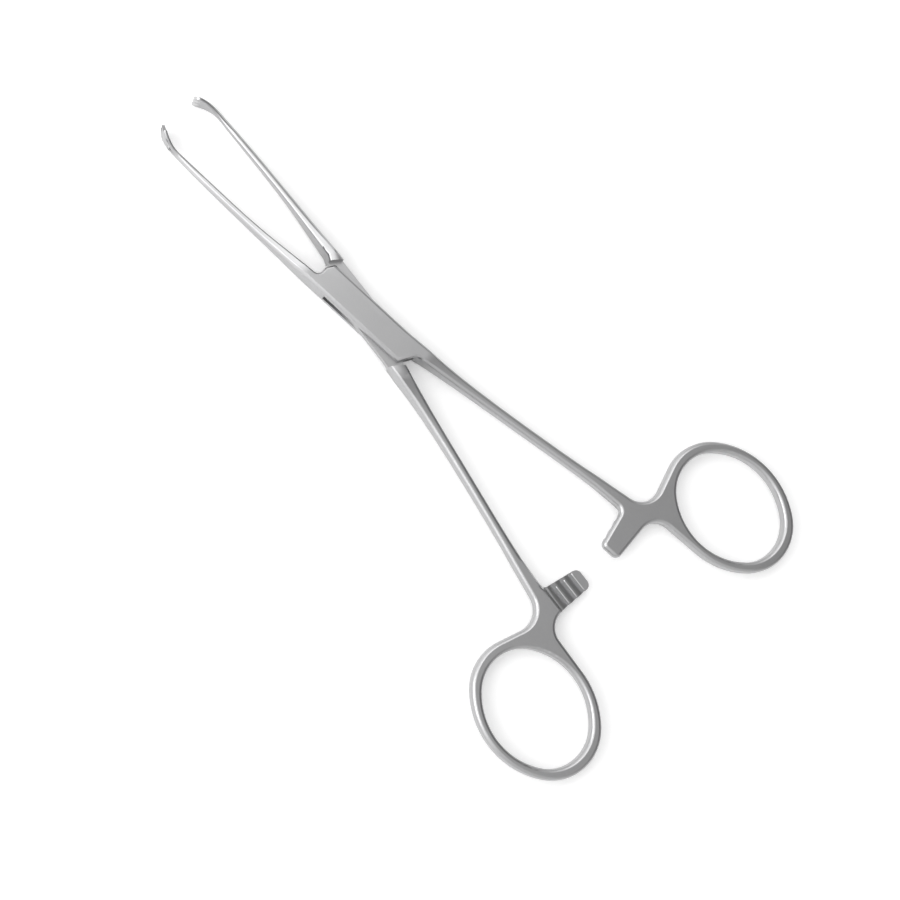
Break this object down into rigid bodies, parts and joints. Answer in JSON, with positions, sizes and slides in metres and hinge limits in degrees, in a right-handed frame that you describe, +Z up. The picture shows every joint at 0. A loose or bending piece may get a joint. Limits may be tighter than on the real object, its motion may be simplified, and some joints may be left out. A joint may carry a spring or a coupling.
{
  "type": "tissue forceps",
  "caption": "Surgical tissue forceps with finger rings, a ratchet, a box joint and slim bowed jaws that end in in-turned, interlocking teeth.",
  "frame": {"origin": "on the joint's axis, at the underside of the box", "axes": "+Y along the instrument from the finger rings to the jaws, +Z up along the joint's axis, +X to the right seen from above"},
  "size_m": [0.084, 0.151, 0.0052],
  "materials": {
    "steel": "satin",
    "pin_steel": "satin"
  },
  "bodies": {
    "box_side": {"box_half": "steel", "joint_pin": "pin_steel"},
    "inner_side": {"inner_half": "steel"}
  },
  "joints": [
    {"name": "box_joint", "type": "hinge", "parent": "box_side", "child": "inner_side", "pos_m": [0, 0, 0.0026], "axis": [0, 0, -1], "range_deg": [-9.2, 78]}
  ]
}
